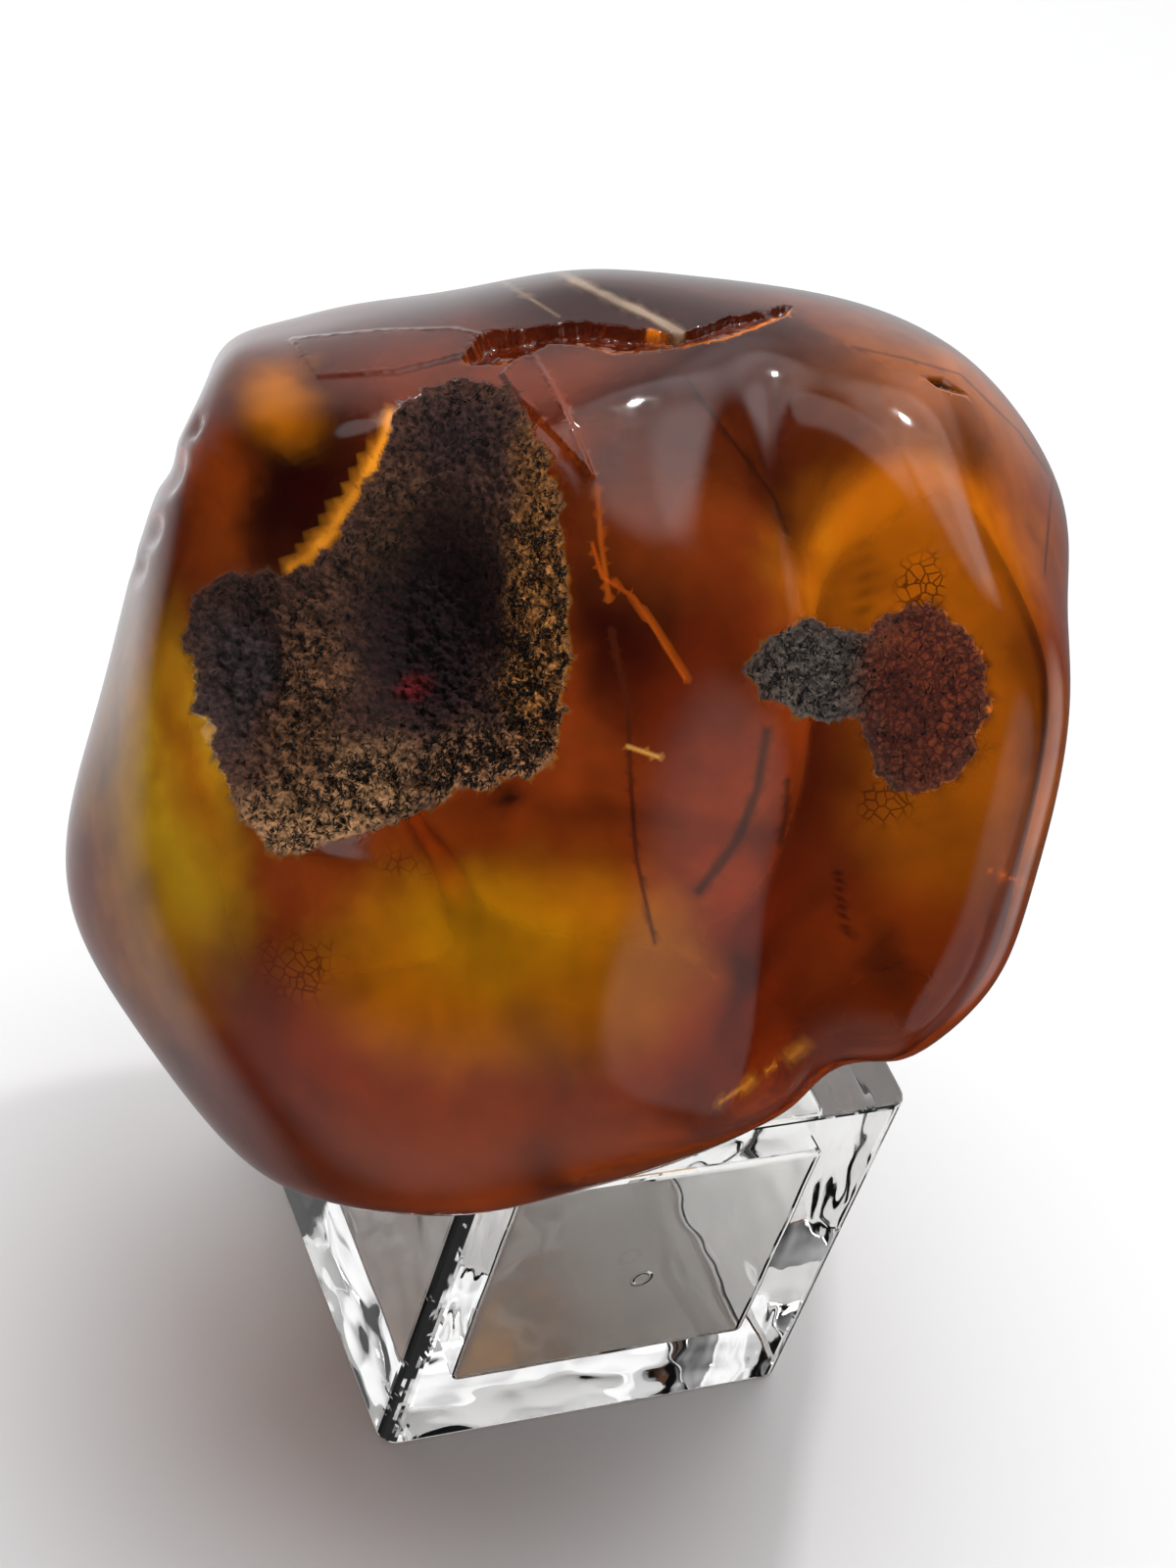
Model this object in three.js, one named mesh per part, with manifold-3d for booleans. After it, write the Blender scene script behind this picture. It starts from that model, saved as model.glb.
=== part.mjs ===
// An amber nugget resting on a clear display stand.
// Millimetres, +Z up. The origin is the centre of the stand's underside, and its closed front faces -Y.

import * as THREE from 'three';
import * as BufferGeometryUtils from 'three/addons/utils/BufferGeometryUtils.js';
import Module from 'manifold-3d';

const wasm = await Module();
wasm.setup();

const degrees = Math.PI / 180;

// The display stand, a moulded block that is hollow and open at the back.
const stand = {
  side: 30,
  height: 30,
  cornerRadius: 1.3,
  sideWall: 4.2,
  frontWall: 2.2,
  floor: 5.0,
  roof: 5.0,
  hollowRadius: 0.8,
};

// The nugget's own frame: X across its broad face, Y up that face, Z out of it.
// It is turned into the world by a roll on its face, a lean back and a turn about the upright.
const seat = {
  roll: 19.38,
  lean: 42.68,
  turn: -34.66,
  centre: new THREE.Vector3(-9.75, -2.14, 53.0),
  gap: 0.3,
};

// The nugget is two lobes grown together. Each lobe is a set of polished facets.
// A facet is [direction about Z, tilt toward Z, distance from the centre].
const mainLobe = {
  sharpness: 0.5,
  facets: [
    [108, 0, 30.3],
    [90, 0, 29.4],
    [66, 0, 28.5],
    [132, -5, 39.7],
    [157, 0, 28.2],
    [172, -5, 36.8],
    [195, -14, 41.0],
    [220, -26, 28.7],
    [252, -24, 31.6],
    [286, -22, 20.2],
    [318, 0, 21.5],
    [182, 76, 21.5],
    [18, 75, 22.2],
    [-18, 62, 21.2],
    [16, 36, 20.9],
    [268, 33, 28.8],
    [176, 24, 28.4],
    [218, 26, 29.4],
    [98, 27, 27.3],
    [94, 50, 28.3],
    [200, -60, 22.0],
    [100, -40, 25.5],
    [165, -42, 25.5],
    [330, -30, 25.0],
  ],
};

// Two flats with crisper edges on the main lobe: the knob's and the bevel under the top ridge.
const crispFlats = [
  { facet: [58, 67, 23.0], sharpness: 2.0 },
  { facet: [93, 41, 25.8], sharpness: 2.5 },
];

const rightLobe = {
  sharpness: 0.85,
  facets: [
    [-10, 0, 26.8],
    [29, 0, 33.4],
    [58, 0, 32.0],
    [88, 0, 26.6],
    [-36, 0, 39.8],
    [-28, 0, 35.6],
    [296, -14, 19.6],
    [-10, 79, 22.3],
    [82, 62, 23.1],
    [80, 30, 27.8],
    [24, 26, 30.6],
    [-15, 28, 30.6],
    [310, 28, 30.2],
    [174, 70, 10.9],
    [180, 0, 4.0],
    [235, 0, 15.0],
    [262, 0, 24.0],
    [125, 0, 22.0],
    [0, -72, 20.5],
    [60, -40, 26.0],
    [-25, -38, 25.5],
  ],
};

const valleySharpness = 1.1;
const restSharpness = 1.4;

// Hollows of the broad face, in the nugget's frame: the crusted basin and its pits, then the ledge
// under the top ridge, where a flake has lifted.
// Each is an oval at x, y with two radii, turned by its angle; a higher flatness is steeper at the rim.
const faceRelief = [
  { x: -8.0, y: 6.5, across: 6.8, along: 11.0, angle: -8, flatness: 5, depth: 1.4 },
  { x: -8.4, y: 6.6, across: 3.8, along: 6.0, angle: -12, flatness: 4, depth: 2.2 },
  { x: -17.6, y: 3.6, across: 4.4, along: 5.6, angle: 0, flatness: 4, depth: 0.9 },
  { x: -13.5, y: -2.0, across: 5.4, along: 3.6, angle: -20, flatness: 4, depth: 0.8 },
  { x: -0.6, y: 21.9, across: 5.4, along: 0.9, angle: 2, flatness: 4, depth: 1.0 },
  { x: 8.2, y: 22.5, across: 4.2, along: 0.7, angle: 16, flatness: 4, depth: 0.8 },
];

// The notch where the lobes part at the lower edge, and a swelling (negative depth) at the sharp corner.
const edgeRelief = [
  { x: 15.0, y: -19.5, across: 2.2, along: 2.6, angle: 0, flatness: 2, depth: 1.5 },
  { x: -21.0, y: 23.5, across: 3.5, along: 3.5, angle: 0, flatness: 2, depth: -1.2 },
];
const face = { start: 6, blend: 1.5 };
const edge = { start: -8, blend: 2 };
const waviness = 0.12;

// The mesh of the nugget: how finely its sphere is divided, how far its points are drawn to the
// broad face, where the forms are finest, and between which radii its skin lies.
const skin = { detail: 20, frontBias: 0.25, inner: 10, outer: 48, halvings: 26 };

function planeOf([direction, tilt, distance]) {
  const about = direction * degrees;
  const toward = tilt * degrees;
  const flat = Math.cos(toward);
  const normal = new THREE.Vector3(flat * Math.cos(about), flat * Math.sin(about), Math.sin(toward));
  return { normal, distance };
}

// Distance outside a lobe, negative within it, with its edges rounded off.
function outside(point, planes, sharpness) {
  const heights = planes.map((plane) => plane.normal.dot(point) - plane.distance);
  const highest = Math.max(...heights);
  const sum = heights.reduce((total, height) => total + Math.exp(sharpness * (height - highest)), 0);
  return highest + Math.log(sum) / sharpness;
}

function roundedLarger(a, b, sharpness) {
  const larger = Math.max(a, b);
  const smaller = Math.min(a, b);
  return larger + Math.log(1 + Math.exp(sharpness * (smaller - larger))) / sharpness;
}

function roundedSmaller(a, b, sharpness) {
  return -roundedLarger(-a, -b, sharpness);
}

function oval(point, spot) {
  const angle = spot.angle * degrees;
  const dx = point.x - spot.x;
  const dy = point.y - spot.y;
  const u = (dx * Math.cos(angle) + dy * Math.sin(angle)) / spot.across;
  const v = (-dx * Math.sin(angle) + dy * Math.cos(angle)) / spot.along;
  return spot.depth * Math.exp(-Math.pow(u * u + v * v, spot.flatness / 2));
}

// 1 in front of the zone's start and 0 behind it, with a soft passage between.
function inFront(point, zone) {
  return 1 / (1 + Math.exp(-(point.z - zone.start) / zone.blend));
}

// The uneven skin: the hollows of the face, the forms at the edge, and a slow wave.
function relief(point) {
  const onFace = faceRelief.reduce((total, spot) => total + oval(point, spot), 0) * inFront(point, face);
  const onEdge = edgeRelief.reduce((total, spot) => total + oval(point, spot), 0) * inFront(point, edge);
  const wave = Math.sin(point.x / 2.3 + point.y / 5.1)
    + Math.sin(point.y / 2.9 - point.z / 4.3 + 1.3)
    + Math.sin(point.z / 2.6 + point.x / 6.1 + 2.1);
  return onFace + onEdge + waviness * wave;
}

function nuggetTurn() {
  const turn = new THREE.Matrix4().makeRotationZ(seat.turn * degrees);
  const lean = new THREE.Matrix4().makeRotationX((90 - seat.lean) * degrees);
  const roll = new THREE.Matrix4().makeRotationZ(seat.roll * degrees);
  return turn.multiply(lean).multiply(roll);
}

function closedGeometry(geometry) {
  geometry.deleteAttribute('normal');
  geometry.deleteAttribute('uv');
  return BufferGeometryUtils.mergeVertices(geometry, 1e-5);
}

// Every point of a divided sphere is moved along its own ray until it meets the nugget's skin.
function nuggetGeometry() {
  const mainPlanes = mainLobe.facets.map(planeOf);
  const rightPlanes = rightLobe.facets.map(planeOf);
  const flats = crispFlats.map(({ facet, sharpness }) => ({ ...planeOf(facet), sharpness }));
  const down = new THREE.Vector3(0, 0, -1).applyMatrix4(nuggetTurn().transpose());
  const restDistance = seat.centre.z - stand.height - seat.gap;

  function beyondSkin(point) {
    const rounded = outside(point, mainPlanes, mainLobe.sharpness);
    const main = flats.reduce((body, flat) => {
      const height = flat.normal.dot(point) - flat.distance;
      return roundedLarger(body, height, flat.sharpness);
    }, rounded);
    const right = outside(point, rightPlanes, rightLobe.sharpness);
    const body = roundedSmaller(main, right, valleySharpness) + relief(point);
    return roundedLarger(body, down.dot(point) - restDistance, restSharpness);
  }

  const geometry = closedGeometry(new THREE.IcosahedronGeometry(1, skin.detail));
  const position = geometry.getAttribute('position');
  const ray = new THREE.Vector3();
  const point = new THREE.Vector3();
  for (let i = 0; i < position.count; i += 1) {
    ray.fromBufferAttribute(position, i).normalize();
    ray.z += skin.frontBias;
    ray.normalize();
    let inner = skin.inner;
    let outer = skin.outer;
    for (let step = 0; step < skin.halvings; step += 1) {
      const middle = (inner + outer) / 2;
      point.copy(ray).multiplyScalar(middle);
      if (beyondSkin(point) < 0) {
        inner = middle;
      } else {
        outer = middle;
      }
    }
    position.setXYZ(i, ray.x * inner, ray.y * inner, ray.z * inner);
  }
  geometry.computeVertexNormals();
  return geometry;
}

function nuggetMesh() {
  const amber = new THREE.MeshStandardMaterial({ color: 0x8a3c10, roughness: 0.12, metalness: 0 });
  const mesh = new THREE.Mesh(nuggetGeometry(), amber);
  mesh.name = 'amber_nugget';
  mesh.setRotationFromMatrix(nuggetTurn());
  mesh.position.copy(seat.centre);
  return mesh;
}

function roundedRectangle(width, depth, radius) {
  const x = width / 2;
  const y = depth / 2;
  const shape = new THREE.Shape();
  shape.moveTo(-x + radius, -y);
  shape.lineTo(x - radius, -y);
  shape.absarc(x - radius, -y + radius, radius, -90 * degrees, 0, false);
  shape.lineTo(x, y - radius);
  shape.absarc(x - radius, y - radius, radius, 0, 90 * degrees, false);
  shape.lineTo(-x + radius, y);
  shape.absarc(-x + radius, y - radius, radius, 90 * degrees, 180 * degrees, false);
  shape.lineTo(-x, -y + radius);
  shape.absarc(-x + radius, -y + radius, radius, 180 * degrees, 270 * degrees, false);
  return shape;
}

function solidOf(geometry) {
  const closed = closedGeometry(geometry);
  const vertProperties = new Float32Array(closed.getAttribute('position').array);
  const triVerts = new Uint32Array(closed.getIndex().array);
  return new wasm.Manifold(new wasm.Mesh({ numProp: 3, vertProperties, triVerts }));
}

function geometryOf(solid) {
  const mesh = solid.getMesh();
  const geometry = new THREE.BufferGeometry();
  geometry.setAttribute('position', new THREE.BufferAttribute(new Float32Array(mesh.vertProperties), 3));
  geometry.setIndex(new THREE.BufferAttribute(new Uint32Array(mesh.triVerts), 1));
  geometry.computeVertexNormals();
  return geometry;
}

// The block less a hollow that runs from behind the front wall out through the back.
function standGeometry() {
  const outline = roundedRectangle(stand.side, stand.side, stand.cornerRadius);
  const block = new THREE.ExtrudeGeometry(outline, {
    depth: stand.height,
    bevelEnabled: false,
    curveSegments: 6,
  });

  const hollowWidth = stand.side - 2 * stand.sideWall;
  const hollowHeight = stand.height - stand.floor - stand.roof;
  const pastBack = 2;
  const mouth = roundedRectangle(hollowWidth, hollowHeight, stand.hollowRadius);
  const hollow = new THREE.ExtrudeGeometry(mouth, {
    depth: stand.side - stand.frontWall + pastBack,
    bevelEnabled: false,
    curveSegments: 4,
  });
  hollow.rotateX(90 * degrees);
  hollow.translate(0, stand.side / 2 + pastBack, stand.floor + hollowHeight / 2);

  return geometryOf(solidOf(block).subtract(solidOf(hollow)));
}

function standMesh() {
  const clear = new THREE.MeshStandardMaterial({ color: 0xd8d8d4, roughness: 0.05, metalness: 0 });
  const mesh = new THREE.Mesh(standGeometry(), clear);
  mesh.name = 'display_stand';
  return mesh;
}

const group = new THREE.Group();
group.add(standMesh());
group.add(nuggetMesh());

export default group;
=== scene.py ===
# %% [markdown]
# # An amber nugget on a clear display stand
#
# The real thing is one lump of fossil resin, tumbled and polished by hand, with some of its dark
# crust left in the hollows. It rests on a small hollow block of clear acrylic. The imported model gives
# both shapes at their real size. This lesson gives them their finish.

import math

import bmesh
import bpy
import numpy as np
from mathutils import Matrix, Vector, noise


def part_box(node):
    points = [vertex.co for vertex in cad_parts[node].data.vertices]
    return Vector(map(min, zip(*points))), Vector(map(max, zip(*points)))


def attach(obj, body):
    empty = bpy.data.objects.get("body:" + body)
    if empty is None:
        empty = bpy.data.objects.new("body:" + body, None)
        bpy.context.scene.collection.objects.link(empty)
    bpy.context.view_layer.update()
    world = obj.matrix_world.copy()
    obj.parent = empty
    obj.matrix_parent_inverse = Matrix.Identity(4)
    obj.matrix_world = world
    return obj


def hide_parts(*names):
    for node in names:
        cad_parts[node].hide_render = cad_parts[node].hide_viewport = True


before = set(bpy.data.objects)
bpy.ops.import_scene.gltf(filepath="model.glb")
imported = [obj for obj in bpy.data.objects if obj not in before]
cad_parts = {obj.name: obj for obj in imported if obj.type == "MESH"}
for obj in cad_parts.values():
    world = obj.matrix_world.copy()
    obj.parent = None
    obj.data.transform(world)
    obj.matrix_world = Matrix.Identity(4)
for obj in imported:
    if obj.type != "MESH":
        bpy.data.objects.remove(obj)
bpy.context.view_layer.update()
stand_high = Vector(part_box("display_stand")[1])
mm = 0.001
print("nodes:", sorted(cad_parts))

# %% [markdown]
# ## Colours and nodes
#
# Colours are easiest to pick as the hex values of a screen, but a shader adds light, so it needs linear
# numbers. One function does that turn. A second one adds any node with its settings and its links,
# which keeps each material short enough to read as a recipe.

# %% Two small helpers


def linear(hex_colour):
    """A screen colour such as "#c87a20" as linear red, green and blue."""
    channels = [int(hex_colour[i:i + 2], 16) / 255 for i in (1, 3, 5)]
    return [c / 12.92 if c <= 0.04045 else ((c + 0.055) / 1.055) ** 2.4 for c in channels]


def add_node(tree, kind, settings=None, **sockets):
    """A node of that kind. A socket is given a number, a colour or another node's output."""
    node = tree.nodes.new(kind)
    for name, value in (settings or {}).items():
        setattr(node, name, value)
    for name, value in sockets.items():
        key = int(name[1:]) if name[0] == "_" and name[1:].isdigit() else name.replace("_", " ")
        socket = node.inputs[key]
        if isinstance(value, bpy.types.NodeSocket):
            tree.links.new(value, socket)
        else:
            socket.default_value = value
    return node


print("amber gold in linear light:", [round(c, 3) for c in linear("#c87a20")])

# %% [markdown]
# ## The camera
#
# The object is seen from above, with the camera turned a little on its side, so the stand leans in the
# frame. The view is three turns and a place. A fit to the stand's corners and edges in the photo gave
# them, and a long lens keeps those edges nearly parallel.

# %% Place the camera
view_turn = math.radians(-34.66)
view_lean = math.radians(42.68)
view_roll = math.radians(19.38)
focal_length = 81.0
sensor_long_side = 36.0
camera_place = Vector((-96.51, -129.98, 192.70)) * mm

view_axes = (
    Matrix.Rotation(view_turn, 3, "Z")
    @ Matrix.Rotation(math.radians(90) - view_lean, 3, "X")
    @ Matrix.Rotation(view_roll, 3, "Z")
)
lens = bpy.data.cameras.new("viewpoint")
lens.lens = focal_length
lens.sensor_width = sensor_long_side
lens.clip_start = 5 * mm
camera = bpy.data.objects.new("viewpoint", lens)
camera.matrix_world = Matrix.Translation(camera_place) @ view_axes.to_4x4()
bpy.context.scene.collection.objects.link(camera)
bpy.context.scene.camera = camera
print("camera is", round(camera_place.length / mm), "mm from the stand's foot")

# %% [markdown]
# ## Light and floor
#
# Polished amber shows its form by what it mirrors. The room here is nearly dark, with ten soft glows in
# it where the amber shows pale bands and patches. A wide panel above lights the whole, a small lamp
# gives the sharp glints, and light from the pale floor shines up through the resin.

# %% Sky, panels and floor
bpy.context.scene.view_settings.view_transform = "Standard"

sky = bpy.data.worlds.new("soft_room")
bpy.context.scene.world = sky
sky.use_nodes = True
room = sky.node_tree
room.nodes.clear()
direction = add_node(room, "ShaderNodeTexCoord").outputs["Generated"]


def glow_toward(turn, height, inner_angle, outer_angle, strength):
    """Strength toward a place of the room, fading out between two angles from it, in degrees."""
    turn, height = math.radians(turn), math.radians(height)
    level = math.cos(height)
    aim = Vector((level * math.cos(turn), level * math.sin(turn), math.sin(height)))
    facing = add_node(room, "ShaderNodeVectorMath", {"operation": "DOT_PRODUCT"}, _0=direction, _1=aim)
    fade = add_node(room, "ShaderNodeMapRange", {"interpolation_type": "SMOOTHSTEP"},
                    Value=facing.outputs["Value"])
    fade.inputs["From Min"].default_value = math.cos(math.radians(outer_angle))
    fade.inputs["From Max"].default_value = math.cos(math.radians(inner_angle))
    fade.inputs["To Max"].default_value = strength
    return fade.outputs[0]


# Each glow is its turn from +X and its height, where it starts to fade and ends, and its strength.
room_glows = [
    (20, 80, 19, 27, 1.3),
    (-25, 68, 6, 14, 0.9),
    (174, 67, 8, 12, 1.2),
    (35, 50, 8, 22, 0.7),
    (-68, 14, 20, 30, 0.62),
    (80, 12, 25, 70, 0.8),
    (108, -40, 12, 42, 0.55),
    (-8, -14, 8, 28, 0.9),
    (-40, -10, 10, 30, 0.3),
    (-125, -30, 30, 58, 0.35),
]
room_shade = 0.04
brightness = add_node(room, "ShaderNodeValue")
brightness.outputs[0].default_value = room_shade
total = brightness.outputs[0]
for glow in room_glows:
    lit = glow_toward(*glow)
    total = add_node(room, "ShaderNodeMath", {"operation": "ADD"}, _0=total, _1=lit).outputs[0]
backdrop = add_node(room, "ShaderNodeBackground", Color=(*linear("#f6f6f8"), 1), Strength=total)
add_node(room, "ShaderNodeOutputWorld", Surface=backdrop.outputs[0])


def add_panel(name, place, target, size, power):
    """A square soft light at a place in millimetres, facing a target."""
    light = bpy.data.lights.new(name, "AREA")
    light.size = size * mm
    light.energy = power
    panel = bpy.data.objects.new(name, light)
    panel.location = Vector(place) * mm
    aim = (Vector(target) - Vector(place)).to_track_quat("-Z", "Y")
    panel.rotation_euler = aim.to_euler()
    bpy.context.scene.collection.objects.link(panel)
    return panel


object_middle = (-8, 0, 50)
soft_top = add_panel("soft_top", (-60, 120, 700), object_middle, size=500, power=3.0)
soft_top.visible_glossy = False
add_panel("glint_lamp", (30, 60, 420), object_middle, size=16, power=0.35)

floor_gap = 0.1 * mm
floor_half_width = 1.5
floor_material = bpy.data.materials.new("pale_matt_table")
floor_material.use_nodes = True
floor_shader = floor_material.node_tree.nodes["Principled BSDF"]
floor_shader.inputs["Base Color"].default_value = (*linear("#f2f2f2"), 1)
floor_shader.inputs["Roughness"].default_value = 0.7

sheet = bmesh.new()
bmesh.ops.create_grid(sheet, x_segments=1, y_segments=1, size=floor_half_width)
bmesh.ops.translate(sheet, verts=sheet.verts, vec=(0, 0, -floor_gap))
floor_mesh = bpy.data.meshes.new("floor")
sheet.to_mesh(floor_mesh)
sheet.free()
floor_mesh.materials.append(floor_material)
floor = bpy.data.objects.new("floor", floor_mesh)
bpy.context.scene.collection.objects.link(floor)
# In the photo the underside mirrors a dim table. This floor is pale, so mirrors leave it out.
floor.visible_glossy = False

# %% [markdown]
# ## The nugget's form
#
# A hand-polished lump is made of broad facets that run into each other with soft edges. So each of its
# two lobes is a handful of planes, and the surface is their rounded crossing. A ray from the centre
# meets that surface once, which lets a plain divided sphere become the nugget: each of its points
# slides along its own ray. The same facets made the solid model, only with fewer points.

# %% Facets and hollows
nugget_centre = Vector((-9.75, -2.14, 53.0))
rest_gap = 0.3
main_sharpness = 0.5
right_sharpness = 0.85
valley_sharpness = 1.1
rest_sharpness = 1.4
waviness = 0.12

# Each facet is a direction about Z and a tilt toward Z, in degrees, and a distance in millimetres.
main_lobe = [
    (108, 0, 30.3), (90, 0, 29.4), (66, 0, 28.5), (132, -5, 39.7), (157, 0, 28.2), (172, -5, 36.8),
    (195, -14, 41.0), (220, -26, 28.7), (252, -24, 31.6), (286, -22, 20.2), (318, 0, 21.5),
    (182, 76, 21.5), (18, 75, 22.2), (-18, 62, 21.2), (16, 36, 20.9), (268, 33, 28.8),
    (176, 24, 28.4), (218, 26, 29.4), (98, 27, 27.3), (94, 50, 28.3),
    (200, -60, 22.0), (100, -40, 25.5), (165, -42, 25.5), (330, -30, 25.0),
]
right_lobe = [
    (-10, 0, 26.8), (29, 0, 33.4), (58, 0, 32.0), (88, 0, 26.6), (-36, 0, 39.8), (-28, 0, 35.6),
    (296, -14, 19.6), (-10, 79, 22.3), (82, 62, 23.1), (80, 30, 27.8), (24, 26, 30.6),
    (-15, 28, 30.6), (310, 28, 30.2), (174, 70, 10.9),
    (180, 0, 4.0), (235, 0, 15.0), (262, 0, 24.0), (125, 0, 22.0),
    (0, -72, 20.5), (60, -40, 26.0), (-25, -38, 25.5),
]

# Two flats with crisper edges: the knob's, and the bevel under the top ridge. The last number is
# how crisp the edge is.
crisp_flats = [
    ((58, 67, 23.0), 2.0),
    ((93, 41, 25.8), 2.5),
]

# Each oval is x, y, its two radii, its angle, the steepness of its rim, and its depth.
face_relief = [
    (-8.0, 6.5, 6.8, 11.0, -8, 5, 1.4),
    (-8.4, 6.6, 3.8, 6.0, -12, 4, 2.2),
    (-17.6, 3.6, 4.4, 5.6, 0, 4, 0.9),
    (-13.5, -2.0, 5.4, 3.6, -20, 4, 0.8),
]
edge_relief = [
    (15.0, -19.5, 2.2, 2.6, 0, 2, 1.5),
    (-21.0, 23.5, 3.5, 3.5, 0, 2, -1.2),
]
print(len(main_lobe), "facets on the main lobe,", len(right_lobe), "on the right one")

# %% The surface those facets make
down = np.array(view_axes.transposed() @ Vector((0, 0, -1)))
rest_distance = nugget_centre.z - stand_high.z / mm - rest_gap
always_inside, always_outside = 10.0, 48.0
halvings = 20


def rounded_larger(a, b, sharpness):
    """The larger of two values, with the corner between them rounded off."""
    larger = np.maximum(a, b)
    return larger + np.log1p(np.exp(sharpness * (np.minimum(a, b) - larger))) / sharpness


def heights_over(points, facets):
    """How far each point lies beyond each facet, in millimetres."""
    turns, tilts, distances = np.array(facets, float).T
    turns, tilts = np.radians(turns), np.radians(tilts)
    normals = np.array([np.cos(tilts) * np.cos(turns), np.cos(tilts) * np.sin(turns), np.sin(tilts)])
    return points @ normals - distances


def outside_lobe(points, facets, sharpness):
    """How far each point lies outside a lobe whose edges are rounded off."""
    heights = heights_over(points, facets)
    highest = heights.max(axis=1)
    total = np.exp(sharpness * (heights - highest[:, None])).sum(axis=1)
    return highest + np.log(total) / sharpness


def oval(x, y, spot):
    """1 inside the oval and 0 outside it, with a rim as steep as the spot says."""
    centre_x, centre_y, across, along, angle, steepness = spot[:6]
    angle = math.radians(angle)
    u = ((x - centre_x) * math.cos(angle) + (y - centre_y) * math.sin(angle)) / across
    v = ((y - centre_y) * math.cos(angle) - (x - centre_x) * math.sin(angle)) / along
    return np.exp(-(u * u + v * v) ** (steepness / 2))


def behind(z, start, width):
    """1 in front of a depth, and growing fast behind it. Relief is divided by it to fade out."""
    return 1 + np.exp(-(z - start) / width)


def relief(points):
    """Hollows and bulges of the face and its edge, and the faint waves of hand polishing."""
    x, y, z = points.T
    face = sum(spot[6] * oval(x, y, spot) for spot in face_relief) / behind(z, 6.0, 1.5)
    edge = sum(spot[6] * oval(x, y, spot) for spot in edge_relief) / behind(z, -8.0, 2.0)
    wave = np.sin(x / 2.3 + y / 5.1) + np.sin(y / 2.9 - z / 4.3 + 1.3) + np.sin(z / 2.6 + x / 6.1 + 2.1)
    return face + edge + waviness * wave


def beyond_skin(points):
    """How far each point lies outside the whole nugget, negative inside it."""
    main = outside_lobe(points, main_lobe, main_sharpness)
    for facet, sharpness in crisp_flats:
        main = rounded_larger(main, heights_over(points, [facet])[:, 0], sharpness)
    right = outside_lobe(points, right_lobe, right_sharpness)
    body = -rounded_larger(-main, -right, valley_sharpness) + relief(points)
    return rounded_larger(body, points @ down - rest_distance, rest_sharpness)


def skin_along(rays):
    """The point where each ray from the centre meets the skin, found by halving."""
    inner = np.full(len(rays), always_inside)
    outer = np.full(len(rays), always_outside)
    for _ in range(halvings):
        middle_way = (inner + outer) / 2
        within = beyond_skin(rays * middle_way[:, None]) < 0
        inner = np.where(within, middle_way, inner)
        outer = np.where(within, outer, middle_way)
    return rays * inner[:, None]


print("rest facet is", round(rest_distance, 2), "mm below the centre")

# %% [markdown]
# ## A map of the broad face
#
# Crust, windows and cracks are easiest to place on a flat map of the face, in millimetres from its
# middle, as someone who looks straight at it sees them. `face_map` gives every point its place there.

# %% Face map and outlines
map_eye = 208.3
far_away = 1e9


def face_map(points):
    """Where an eye above the face sees each point, in millimetres from the face's middle."""
    spread = map_eye / (map_eye - points[:, 2])
    return points[:, 0] * spread, points[:, 1] * spread


def gap_to_edge(x, y, start, end):
    """Distance from a straight edge, and how far along it (0 to 1) the nearest place is."""
    (ax, ay), (bx, by) = start, end
    length_squared = (bx - ax) ** 2 + (by - ay) ** 2
    along = np.clip(((x - ax) * (bx - ax) + (y - ay) * (by - ay)) / length_squared, 0, 1)
    return np.hypot(x - ax - along * (bx - ax), y - ay - along * (by - ay)), along


def inside_outline(x, y, outline):
    """Distance inside a closed outline in millimetres, negative outside it."""
    corners = np.array(outline, float)
    nearest = np.full(x.shape, far_away)
    crossings = np.zeros(x.shape, int)
    for start, end in zip(corners, np.roll(corners, -1, axis=0)):
        (ax, ay), (bx, by) = start, end
        nearest = np.minimum(nearest, gap_to_edge(x, y, start, end)[0])
        spans = (ay > y) != (by > y)
        slant = (bx - ax) / (by - ay) if by != ay else 0.0
        crossings += spans & (x < ax + (y - ay) * slant)
    return np.where(crossings % 2 == 1, nearest, -nearest)


def along_path(x, y, path):
    """Distance from a path, and how far along it (0 to 1) the nearest place is."""
    nearest = np.full(x.shape, far_away)
    share = np.zeros(x.shape)
    steps = len(path) - 1
    for n in range(steps):
        distance, along = gap_to_edge(x, y, path[n], path[n + 1])
        closer = distance < nearest
        nearest = np.where(closer, distance, nearest)
        share = np.where(closer, (n + along) / steps, share)
    return nearest, share


# The crust, as outlines: the great hollow, the grey fur in the valley and the red ring beside it.
hollow_crust = [
    (-11.0, 19.4), (-9.6, 20.6), (-6.9, 21.4), (-4.1, 20.8), (-1.9, 17.4), (-0.9, 13.6), (-0.4, 8.4),
    (-0.5, 3.8), (-1.2, -0.4), (-2.6, -2.2), (-4.9, -2.6), (-7.4, -3.1), (-9.8, -4.5), (-12.7, -5.6),
    (-15.6, -6.5), (-17.9, -6.6), (-19.7, -4.7), (-21.0, -2.1), (-22.6, 1.7), (-23.3, 5.4),
    (-22.8, 8.2), (-20.9, 9.7), (-17.6, 9.9), (-15.5, 10.4), (-14.3, 12.0), (-12.8, 14.7),
    (-11.4, 17.0),
]
valley_crust = [
    (9.9, 4.2), (10.7, 5.7), (12.2, 6.5), (13.9, 7.1), (15.6, 6.4), (17.2, 6.4), (18.2, 4.7),
    (17.8, 2.6), (16.6, 1.4), (14.8, 1.2), (13.2, 1.0), (12.1, 2.2), (10.7, 2.9),
]
ring_crust = [
    (17.0, 6.0), (18.2, 7.3), (20.0, 8.0), (21.8, 7.6), (23.2, 6.4), (24.0, 4.2), (24.1, 1.7),
    (23.4, -0.6), (22.3, -2.4), (20.5, -3.3), (18.7, -3.0), (17.3, -1.7), (16.8, 0.2), (16.8, 2.0),
]

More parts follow.
